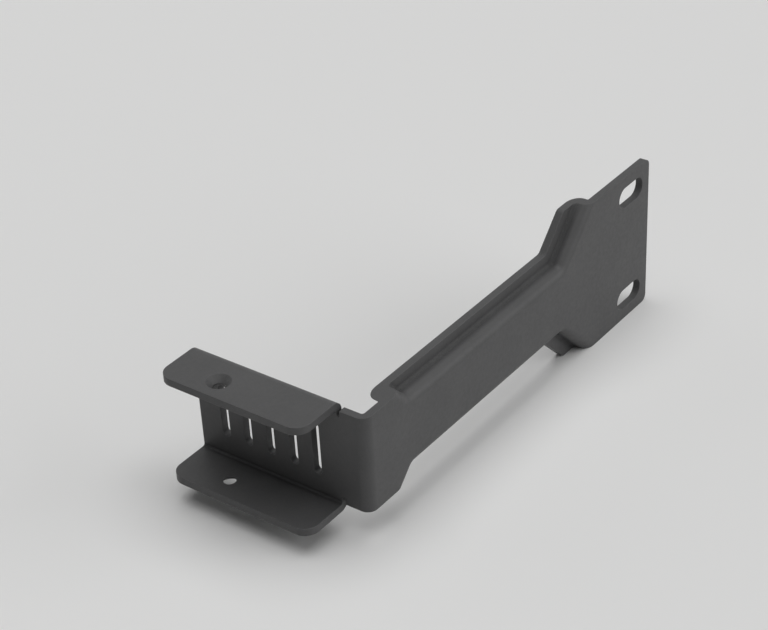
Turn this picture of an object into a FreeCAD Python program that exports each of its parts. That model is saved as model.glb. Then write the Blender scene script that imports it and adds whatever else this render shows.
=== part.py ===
import FreeCAD, Part
import os
from math import sqrt, tan, acos, sin

Vector = FreeCAD.Vector

# Rack mount ear bracket, right-hand side, folded and pressed from one sheet.
#
# Row frame, in millimetres: +X runs from the device out to the rack post, +Y runs from
# the front to the back, and +Z is up. The origin lies on the back face of the ear, which
# bears on the rack post, halfway between the two rack slots.
#
# From left to right the sheet makes a channel that holds one side of a device (a slotted
# web between a top and a bottom flange), a square corner, a short full-height strip, a
# long arm, and the ear. The arm and the ear lie in the front plane. Along the arm's upper
# and lower edges and the ear's slanting edges the sheet steps back to a second plane, so
# that a stiffening margin runs round the middle panel.

# Sheet and bends.
sheet = 2.0                  # thickness of the sheet
bend_inside = 0.7            # inside radius of the three folds
flat_cut_past_bend = 1.0     # how far each bend relief reaches into the flat web
relief_width = 0.8           # width of each bend relief, along the web

# Channel that holds the device.
channel_opening = 26.8       # clear height between the flanges, and height of the strip
web_length = 51.0            # front face to the back end of the web
flange_start = 8.1           # front face to the front end of each flange
flange_depth = 13.2          # web face to the free edge of each flange
flange_corner = 4.0          # corner radius of the flanges

# Screw holes, one above the other in the two flanges, each countersunk from outside.
screw_bore = 3.2             # diameter of the bore
screw_head = 6.4             # diameter of the countersink at the flange's outer face
screw_from_web = 7.6         # web face to the holes' axis
screw_from_back = 14.5       # back end of the web to the holes' axis

# Cooling slots in the web.
vent_count = 5
vent_pitch = 7.0
vent_width = 2.4
vent_height = 15.0
vent_first = 15.0            # front face to the middle of the first slot

# Ear and its two rack slots.
ear_height = 44.4
ear_beyond_slots = 9.4       # slot centres to the ear's outer edge
ear_corner = 2.0
web_to_slots = 118.4         # web face to the slot centres
slot_spacing = 31.75
slot_length = 12.0
slot_height = 6.0

# Stepped margin. Its slanting stretches run at 45 degrees.
step_back = 4.2              # front plane to the margin's front face
margin_on_arm = 3.6          # margin's edge to the step wall, along the arm
margin_on_ear = 4.0          # margin's edge to the step wall, along the ear's slants
ear_slant_start = 82.5       # web face to where the arm's edge turns up to the ear
near_wall_front = 14.0       # web face to the near step wall at the strip's edge, front
near_wall_back = 8.0         # the same on the back, where the wall is thicker
step_front_inside = 0.3      # inside radius of the step's bend at the front plane
step_back_inside = 1.1       # inside radius of the step's bend at the margin
step_turn = 2.0              # radius, in front view, where the step wall turns
slant_end_corner = 1.5       # radius where the slanting edges meet the ear's ends

# Sizes that follow.
bend_outside = bend_inside + sheet
front_y = -sheet
web_x = -web_to_slots
ear_x = ear_beyond_slots
strip_half = channel_opening / 2
channel_half = strip_half + sheet
ear_half = ear_height / 2
margin_y = front_y + step_back
back_y = margin_y + sheet
web_back_y = front_y + web_length
flange_y = front_y + flange_start
screw_x = web_x - screw_from_web
screw_y = web_back_y - screw_from_back
countersink_depth = (screw_head - screw_bore) / 2
diagonal = sqrt(2)

# Tool bodies reach this far past what they shape.
beyond = 5.0

# Points and planes closer together than this count as one.
close = 1e-3


def front_view(u, v):
    return Vector(u, 0, v)


def plan_view(u, v):
    return Vector(u, v, 0)


def side_view(u, v):
    return Vector(0, u, v)


def rounded_face(corners, view):
    """Flat face from corners (u, v, radius), each rounded by an arc of its radius."""
    starts = []
    ends = []
    arcs = []
    for index, (u, v, radius) in enumerate(corners):
        corner = view(u, v)
        if radius == 0:
            starts.append(corner)
            ends.append(corner)
            arcs.append(None)
            continue
        before = corners[index - 1]
        after = corners[(index + 1) % len(corners)]
        to_before = (view(before[0], before[1]) - corner).normalize()
        to_after = (view(after[0], after[1]) - corner).normalize()
        half_angle = acos(to_before.dot(to_after)) / 2
        inward = (to_before + to_after).normalize()
        centre = corner + inward * (radius / sin(half_angle))
        run = radius / tan(half_angle)
        starts.append(corner + to_before * run)
        ends.append(corner + to_after * run)
        arcs.append(Part.Arc(starts[-1], centre - inward * radius, ends[-1]).toShape())
    edges = []
    for index, arc in enumerate(arcs):
        if arc:
            edges.append(arc)
        following = (index + 1) % len(corners)
        if ends[index].distanceToPoint(starts[following]) > close:
            edges.append(Part.makeLine(ends[index], starts[following]))
    return Part.Face(Part.Wire(edges))


def slot_corners(centre_u, centre_v, length_u, length_v):
    """Corners of a slot with round ends, for either direction."""
    radius = min(length_u, length_v) / 2
    u = length_u / 2
    v = length_v / 2
    return [
        (centre_u - u, centre_v - v, radius),
        (centre_u + u, centre_v - v, radius),
        (centre_u + u, centre_v + v, radius),
        (centre_u - u, centre_v + v, radius),
    ]


def front_prism(corners, y_from, y_to):
    face = rounded_face(corners, front_view)
    face.translate(Vector(0, y_from, 0))
    return face.extrude(Vector(0, y_to - y_from, 0))


def channel():
    """Web with its top and bottom flanges, an open C section along Y."""
    free_x = web_x - flange_depth
    web_outer = web_x + sheet
    section = [
        (free_x, channel_half, 0),
        (web_outer, channel_half, bend_outside),
        (web_outer, -channel_half, bend_outside),
        (free_x, -channel_half, 0),
        (free_x, -strip_half, 0),
        (web_x, -strip_half, bend_inside),
        (web_x, strip_half, bend_inside),
        (free_x, strip_half, 0),
    ]
    folded = front_prism(section, flange_y, web_back_y)
    plan = [
        (free_x, flange_y, flange_corner),
        (web_outer, flange_y, 0),
        (web_outer, web_back_y, 0),
        (free_x, web_back_y, flange_corner),
    ]
    trim = rounded_face(plan, plan_view)
    trim.translate(Vector(0, 0, -channel_half))
    return folded.common(trim.extrude(Vector(0, 0, 2 * channel_half)))


def corner(strip_end):
    """Square fold between the web and the strip, at the strip's height."""
    plan = [
        (web_x, flange_y, 0),
        (web_x, front_y, bend_outside),
        (strip_end, front_y, 0),
        (strip_end, 0, 0),
        (web_x + sheet, 0, bend_inside),
        (web_x + sheet, flange_y, 0),
    ]
    face = rounded_face(plan, plan_view)
    face.translate(Vector(0, 0, -strip_half))
    return face.extrude(Vector(0, 0, channel_opening))


def bend_reliefs():
    """Narrow cuts that part the flanges' bends from the strip."""
    bottom = channel_half - bend_outside - flat_cut_past_bend
    height = strip_half - bottom + beyond
    cuts = []
    for z in (bottom, -bottom - height):
        corner_point = Vector(web_x - beyond, flange_y - relief_width, z)
        cuts.append(Part.makeBox(2 * beyond, relief_width, height, corner_point))
    return cuts


def panel_blank(strip_end):
    """Front outline of strip, arm and ear, through the full depth of the step."""
    slant_x = web_x + ear_slant_start
    slant_top = slant_x + ear_half - strip_half
    outline = [
        (strip_end, -strip_half, 0),
        (slant_x, -strip_half, step_turn),
        (slant_top, -ear_half, slant_end_corner),
        (ear_x, -ear_half, ear_corner),
        (ear_x, ear_half, ear_corner),
        (slant_top, ear_half, slant_end_corner),
        (slant_x, strip_half, step_turn),
        (strip_end, strip_half, 0),
    ]
    return front_prism(outline, front_y, back_y)


def wall_outline(near_x, arm_half, ear_shift, turn_radius, reach):
    """Region inside the step wall, run out past the sheet's edges by reach.

    The near and ear stretches slant at 45 degrees. near_x is where the near stretch
    crosses the strip's edge, and ear_shift moves the ear's stretch along X.
    """
    far = ear_half + reach
    left = web_x - reach
    right = ear_x + reach
    near_turn = near_x + strip_half - arm_half
    near_far = near_x + strip_half - far
    ear_line = web_x + ear_slant_start - strip_half + ear_shift
    upper = [
        (min(left, near_far - reach), far, 0),
        (near_far, far, 0),
        (near_turn, arm_half, turn_radius),
        (ear_line + arm_half, arm_half, turn_radius),
        (ear_line + far, far, 0),
        (max(right, ear_line + far + reach), far, 0),
    ]
    lower = [(x, -z, radius) for x, z, radius in reversed(upper)]
    return upper + lower


def wall_edges(body, y, corners):
    """Edges of the step wall that lie in the plane at y."""
    far = max(z for x, z, radius in corners)
    left = min(x for x, z, radius in corners)
    right = max(x for x, z, radius in corners)
    chosen = []
    for edge in body.Edges:
        box = edge.BoundBox
        in_plane = box.YLength < close and abs(box.YMin - y) < close
        across = abs(box.Center.z) < far - beyond - close
        inside = box.XMin > left + close and box.XMax < right - close
        if in_plane and across and inside:
            chosen.append(edge)
    return chosen


def slab(y_from, y_to, corners):
    """Plain plate that stops short of the wall outline's ends on every side."""
    far = max(z for x, z, radius in corners) - beyond
    left = min(x for x, z, radius in corners) + beyond
    right = max(x for x, z, radius in corners) - beyond
    return Part.makeBox(right - left, y_to - y_from, 2 * far, Vector(left, y_from, -far))


def stepped_panel(strip_end):
    """Strip, arm and ear with the margin stepped back behind the front plane."""
    arm_front = strip_half - margin_on_arm
    front_corners = wall_outline(
        web_x + near_wall_front, arm_front, margin_on_ear * diagonal, step_turn, 2 * beyond
    )
    front = front_prism(front_corners, front_y, back_y).fuse(slab(margin_y, back_y, front_corners))
    front = front.makeFillet(
        step_front_inside + sheet, wall_edges(front, front_y, front_corners)
    )
    front = front.makeFillet(step_back_inside, wall_edges(front, margin_y, front_corners))

    back_corners = wall_outline(
        web_x + near_wall_back,
        arm_front - sheet,
        (margin_on_ear + sheet) * diagonal,
        step_turn + sheet,
        2 * beyond,
    )
    open_back = back_y + beyond
    pocket = front_prism(back_corners, 0, open_back).fuse(slab(back_y, open_back, back_corners))
    pocket = pocket.makeFillet(
        step_back_inside + sheet, wall_edges(pocket, back_y, back_corners)
    )
    pocket = pocket.makeFillet(step_front_inside, wall_edges(pocket, 0, back_corners))
    return panel_blank(strip_end).common(front).cut(pocket)


def vent_slots():
    """Upright slots through the web."""
    cuts = []
    for index in range(vent_count):
        y = front_y + vent_first + index * vent_pitch
        face = rounded_face(slot_corners(y, 0, vent_width, vent_height), side_view)
        face.translate(Vector(web_x - sheet, 0, 0))
        cuts.append(face.extrude(Vector(3 * sheet, 0, 0)))
    return cuts


def rack_slots():
    """Level slots through the ear."""
    cuts = []
    for side in (1, -1):
        corners = slot_corners(0, side * slot_spacing / 2, slot_length, slot_height)
        cuts.append(front_prism(corners, front_y - sheet, sheet))
    return cuts


def screw_holes():
    """Bore through both flanges, with a countersink in the outer face of each."""
    bottom = Vector(screw_x, screw_y, -channel_half)
    cuts = [Part.makeCylinder(screw_bore / 2, 2 * channel_half, bottom)]
    for side in (1, -1):
        foot = Vector(screw_x, screw_y, side * (channel_half - countersink_depth))
        outward = Vector(0, 0, side)
        cuts.append(
            Part.makeCone(screw_bore / 2, screw_head / 2, countersink_depth, foot, outward)
        )
    return cuts


def ear_bracket():
    strip_end = web_x + bend_outside + sheet
    body = corner(strip_end).fuse([channel(), stepped_panel(strip_end)])
    body = body.cut(bend_reliefs() + vent_slots() + rack_slots() + screw_holes())
    return body.removeSplitter()


os.makedirs("parts", exist_ok=True)
bracket = ear_bracket()
bracket.exportStep("parts/ear_bracket.step")
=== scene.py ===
import bpy
from mathutils import Matrix, Vector


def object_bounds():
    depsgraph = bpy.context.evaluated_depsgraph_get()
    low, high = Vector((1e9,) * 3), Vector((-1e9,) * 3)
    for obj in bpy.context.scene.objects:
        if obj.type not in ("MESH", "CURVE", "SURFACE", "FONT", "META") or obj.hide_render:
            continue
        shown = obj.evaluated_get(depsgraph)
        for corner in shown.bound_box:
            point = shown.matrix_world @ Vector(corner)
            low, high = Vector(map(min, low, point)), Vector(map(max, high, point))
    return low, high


# Camera, in the frame's metres: its place, and two of its axes as directions.
CAMERA_AT = (-0.39214, -0.22331, 0.26571)
CAMERA_FORWARD = (0.66438, 0.51952, -0.53731)
CAMERA_RIGHT = (0.59078, -0.80539, -0.04822)
CAMERA_LENS = 90.12
CAMERA_CLIP = 0.01
SENSOR_WIDTH = 36.0

BLACK = (0.0, 0.0, 0.0, 1.0)
WHITE = (1.0, 1.0, 1.0, 1.0)

# Powder coat: a dark neutral grey, matte, with a fine pebbled skin.
COAT_LIGHT = (0.080, 0.080, 0.081, 1.0)
COAT_DARK = (0.064, 0.064, 0.065, 1.0)
COAT_ROUGHNESS = (0.42, 0.56)
COAT_SPECULAR = 0.32
CLOUD = {"Scale": 90.0, "Detail": 4.0, "Roughness": 0.55}    # tone, about 1 cm across
SPECK = {"Scale": 900.0, "Detail": 3.0, "Roughness": 0.6}    # flow marks, about 1 mm
GRAIN = {"Scale": 2600.0, "Detail": 2.0, "Roughness": 0.5}   # pebbles, about 0.4 mm
NOISE_MIDDLE = (0.3, 0.7)      # limits between which a noise is spread out
CLOUD_SHARE = 0.6              # shares that cloud and grain have in the tone
GRAIN_SHARE = 0.4
SPECK_HEIGHT = 0.00001
GRAIN_HEIGHT = 0.00001

# Outside edges: the coat rounds them, and they are painted lighter, partly as wear and partly as
# a painted highlight.
EDGE_WEAR_AND_HIGHLIGHT = (0.122, 0.122, 0.124, 1.0)
EDGE_RADIUS = 0.0003
EDGE_GAIN = 2.5                # how soon a turned normal counts as an edge
EDGE_LIMITS = (0.7, 1.0)       # openness at which an edge isn't lightened, and is lightened most

# Inside corners get painted shade: a darker tone and a weaker sheen. Openness is the share of its
# surroundings that a point sees open within a reach. Tone and sheen are shares of those of the
# open faces.
SHADER_SAMPLES = 8
CORNER_REACH = 0.002
CORNER_LIMITS = (0.60, 0.92)   # openness at which the painted shade is darkest, and at which there is none
CORNER_SHADE_TONE = 0.70             # tone under the darkest painted shade
CORNER_SHADE_SHEEN = 0.40            # sheen under the darkest painted shade
FOLD_REACH = 0.00065           # short enough to find only the round of an inside bend
FOLD_LIMITS = (0.88, 0.99)     # openness at which the round's painted shade is darkest, and there is none
FOLD_SHADE = 0.15               # tone and sheen under the darkest painted shade in the round

# Cut walls that get no painted shade: X is below WEB_END, and either Z is within
# SLOTS_HALF_HEIGHT of the middle, as in the vent slots, or Y is below RELIEFS_END, as in the bend
# reliefs.
WEB_END = -0.112
SLOTS_HALF_HEIGHT = 0.009
RELIEFS_END = 0.0062

# Studio: a pale floor that runs into a backdrop of the same shade, and three soft lamps,
# each with the direction in which its light travels.
FLOOR_COLOUR = (0.86, 0.86, 0.855, 1.0)
FLOOR_ROUGHNESS = 0.9
FLOOR_SPECULAR = 0.1
FLOOR_HALF = 12.0
SKY_COLOUR = (0.675, 0.675, 0.671, 1.0)
SKY_LIGHT = 0.06
LAMP_SPREAD = 1.1
LAMPS = {
    "lamp_back": {"shines": (0.10, -1.0, -0.15), "strength": 0.30},
    "lamp_above": {"shines": (0.0, 0.05, -1.0), "strength": 1.80},
    "lamp_front": {"shines": (-0.40, 1.0, -0.25), "strength": 1.34},
}


def node(tree, kind, **settings):
    made = tree.nodes.new(kind)
    for name, value in settings.items():
        setattr(made, name, value)
    return made


def noise(tree, place, settings):
    made = node(tree, "ShaderNodeTexNoise")
    for name, value in settings.items():
        made.inputs[name].default_value = value
    tree.links.new(place, made.inputs["Vector"])
    return made.outputs["Fac"]


def spread(tree, source, low, high, limits=NOISE_MIDDLE):
    """Maps what lies between the limits to low and high, and what lies outside to the nearer."""
    made = node(tree, "ShaderNodeMapRange")
    made.inputs["From Min"].default_value = limits[0]
    made.inputs["From Max"].default_value = limits[1]
    made.inputs["To Min"].default_value = low
    made.inputs["To Max"].default_value = high
    tree.links.new(source, made.inputs["Value"])
    return made.outputs["Result"]


def mix(tree, factor, first, second):
    """Mixes two colours, each a plain colour or another node's output."""
    made = node(tree, "ShaderNodeMix", data_type="RGBA")
    tree.links.new(factor, made.inputs["Factor"])
    for name, colour in (("A", first), ("B", second)):
        if isinstance(colour, tuple):
            made.inputs[name].default_value = colour
        else:
            tree.links.new(colour, made.inputs[name])
    return made.outputs["Result"]


def calculate(tree, operation, first, second):
    """The result of a Math node on two values, each a float or another node's output."""
    made = node(tree, "ShaderNodeMath", operation=operation)
    for place, value in enumerate((first, second)):
        if isinstance(value, float):
            made.inputs[place].default_value = value
        else:
            tree.links.new(value, made.inputs[place])
    return made.outputs[0]


def bump(tree, height, depth, normal):
    made = node(tree, "ShaderNodeBump")
    made.inputs["Strength"].default_value = 1.0
    made.inputs["Distance"].default_value = depth
    tree.links.new(height, made.inputs["Height"])
    tree.links.new(normal, made.inputs["Normal"])
    return made.outputs["Normal"]


def open_share(tree, reach):
    """The share of its surroundings that a point sees open within this reach."""
    made = node(
        tree, "ShaderNodeAmbientOcclusion", samples=SHADER_SAMPLES, only_local=True
    )
    made.inputs["Distance"].default_value = reach
    return made.outputs["AO"]


def cut_region(tree, place):
    """One round the web's vent slots and the bend reliefs, and nought elsewhere."""
    axes = node(tree, "ShaderNodeSeparateXYZ")
    tree.links.new(place, axes.inputs[0])
    height = calculate(tree, "ABSOLUTE", axes.outputs["Z"], 0.0)
    slots = calculate(tree, "LESS_THAN", height, SLOTS_HALF_HEIGHT)
    reliefs = calculate(tree, "LESS_THAN", axes.outputs["Y"], RELIEFS_END)
    web = calculate(tree, "LESS_THAN", axes.outputs["X"], WEB_END)
    return calculate(tree, "MULTIPLY", web, calculate(tree, "MAXIMUM", slots, reliefs))


def painted_shade_shares(tree, place):
    """A point's openness, and the shares of tone and of sheen that painted shade in inside
    corners leaves.
    """
    clear = cut_region(tree, place)
    openness = calculate(tree, "MAXIMUM", open_share(tree, CORNER_REACH), clear)
    fold = calculate(tree, "MAXIMUM", open_share(tree, FOLD_REACH), clear)
    fold_painted_shade = spread(tree, fold, FOLD_SHADE, 1.0, FOLD_LIMITS)
    tone = spread(tree, openness, CORNER_SHADE_TONE, 1.0, CORNER_LIMITS)
    shaded_sheen = spread(tree, openness, CORNER_SHADE_SHEEN, 1.0, CORNER_LIMITS)
    return (
        openness,
        calculate(tree, "MULTIPLY", fold_painted_shade, tone),
        calculate(tree, "MULTIPLY", fold_painted_shade, shaded_sheen),
    )


def edge_wear_and_highlight(tree, rounded, openness):
    """How far a point lies on an outside edge, where it is painted lighter as wear and painted
    highlight.
    """
    facing = node(tree, "ShaderNodeVectorMath", operation="DOT_PRODUCT")
    tree.links.new(rounded, facing.inputs[0])
    tree.links.new(node(tree, "ShaderNodeNewGeometry").outputs["Normal"], facing.inputs[1])
    turned = node(tree, "ShaderNodeMath", operation="MULTIPLY_ADD", use_clamp=True)
    tree.links.new(facing.outputs["Value"], turned.inputs[0])
    turned.inputs[1].default_value = -EDGE_GAIN
    turned.inputs[2].default_value = EDGE_GAIN
    outside = spread(tree, openness, 0.0, 1.0, EDGE_LIMITS)
    return calculate(tree, "MULTIPLY", turned.outputs[0], outside)


def powder_coat():
    material = bpy.data.materials.new("powder_coat")
    material.use_nodes = True
    tree = material.node_tree
    shader = tree.nodes["Principled BSDF"]
    place = node(tree, "ShaderNodeTexCoord").outputs["Object"]
    grain = noise(tree, place, GRAIN)
    speck = noise(tree, place, SPECK)
    cloud = noise(tree, place, CLOUD)
    edges = node(tree, "ShaderNodeBevel", samples=SHADER_SAMPLES)
    edges.inputs["Radius"].default_value = EDGE_RADIUS
    rounded = edges.outputs["Normal"]
    openness, painted_shade_tone, painted_shade_sheen = painted_shade_shares(tree, place)

    cloudy = spread(tree, cloud, 0.0, CLOUD_SHARE)
    grainy = spread(tree, grain, 0.0, GRAIN_SHARE)
    tone = mix(tree, calculate(tree, "ADD", cloudy, grainy), COAT_DARK, COAT_LIGHT)
    # painted shade: inside corners and bend rounds are darkened towards black
    tone = mix(tree, painted_shade_tone, BLACK, tone)
    # edges painted lighter: partly wear, partly a painted highlight
    tone = mix(tree, edge_wear_and_highlight(tree, rounded, openness), tone, EDGE_WEAR_AND_HIGHLIGHT)
    tree.links.new(tone, shader.inputs["Base Color"])

    # painted shade on the reflection: the sheen is weakened in inside corners
    shaded_sheen = mix(tree, painted_shade_sheen, BLACK, WHITE)
    tree.links.new(shaded_sheen, shader.inputs["Specular Tint"])
    tree.links.new(spread(tree, speck, *COAT_ROUGHNESS), shader.inputs["Roughness"])
    shader.inputs["Specular IOR Level"].default_value = COAT_SPECULAR

    flow = bump(tree, speck, SPECK_HEIGHT, rounded)
    tree.links.new(bump(tree, grain, GRAIN_HEIGHT, flow), shader.inputs["Normal"])
    return material


def show_plain(tree, lit, colour, output):
    """Shows a plain colour to the camera, to gloss and through glass, and lit elsewhere."""
    path = node(tree, "ShaderNodeLightPath").outputs
    seen = calculate(tree, "MAXIMUM", path["Is Camera Ray"], path["Is Glossy Ray"])
    seen = calculate(tree, "MAXIMUM", seen, path["Is Transmission Ray"])
    plain = node(tree, "ShaderNodeBackground")
    plain.inputs["Color"].default_value = colour
    mixed = node(tree, "ShaderNodeMixShader")
    tree.links.new(seen, mixed.inputs["Fac"])
    tree.links.new(lit, mixed.inputs[1])
    tree.links.new(plain.outputs[0], mixed.inputs[2])
    tree.links.new(mixed.outputs[0], output)


def make_world():
    world = bpy.data.worlds.new("studio")
    bpy.context.scene.world = world
    world.use_nodes = True
    tree = world.node_tree
    ambient = tree.nodes["Background"]
    ambient.inputs["Color"].default_value = WHITE
    ambient.inputs["Strength"].default_value = SKY_LIGHT
    output = tree.nodes["World Output"].inputs["Surface"]
    show_plain(tree, ambient.outputs[0], SKY_COLOUR, output)


def make_floor(height):
    near, far = -FLOOR_HALF, FLOOR_HALF
    corners = [(near, near, height), (far, near, height), (far, far, height), (near, far, height)]
    mesh = bpy.data.meshes.new("floor")
    mesh.from_pydata(corners, [], [(0, 1, 2, 3)])
    floor = bpy.data.objects.new("floor", mesh)
    bpy.context.scene.collection.objects.link(floor)
    material = bpy.data.materials.new("floor_paper")
    material.use_nodes = True
    shader = material.node_tree.nodes["Principled BSDF"]
    shader.inputs["Base Color"].default_value = FLOOR_COLOUR
    shader.inputs["Roughness"].default_value = FLOOR_ROUGHNESS
    shader.inputs["Specular IOR Level"].default_value = FLOOR_SPECULAR
    mesh.materials.append(material)


def make_lamps():
    for name, lamp in LAMPS.items():
        data = bpy.data.lights.new(name, "SUN")
        data.angle = LAMP_SPREAD
        data.energy = lamp["strength"]
        light = bpy.data.objects.new(name, data)
        light.rotation_euler = Vector(lamp["shines"]).to_track_quat("-Z", "Y").to_euler()
        bpy.context.scene.collection.objects.link(light)


def make_camera():
    forward = Vector(CAMERA_FORWARD).normalized()
    right = Vector(CAMERA_RIGHT)
    right = (right - forward * right.dot(forward)).normalized()
    up = right.cross(forward)
    data = bpy.data.cameras.new("camera")
    data.lens = CAMERA_LENS
    data.sensor_fit = "HORIZONTAL"
    data.sensor_width = SENSOR_WIDTH
    data.clip_start = CAMERA_CLIP
    camera = bpy.data.objects.new("camera", data)
    turn = Matrix((right, up, -forward)).transposed()
    camera.matrix_world = Matrix.Translation(CAMERA_AT) @ turn.to_4x4()
    bpy.context.scene.collection.objects.link(camera)
    bpy.context.scene.camera = camera


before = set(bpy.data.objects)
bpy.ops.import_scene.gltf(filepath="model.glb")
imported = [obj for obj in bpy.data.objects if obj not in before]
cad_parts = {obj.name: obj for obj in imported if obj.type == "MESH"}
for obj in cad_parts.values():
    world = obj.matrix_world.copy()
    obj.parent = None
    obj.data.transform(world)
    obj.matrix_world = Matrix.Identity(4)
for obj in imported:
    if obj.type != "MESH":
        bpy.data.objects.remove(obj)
cad_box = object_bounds()

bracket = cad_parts["ear_bracket"]
bracket.data.materials.clear()
bracket.data.materials.append(powder_coat())

bpy.context.scene.view_settings.view_transform = "Standard"
make_world()
make_floor(cad_box[0].z)
make_lamps()
make_camera()
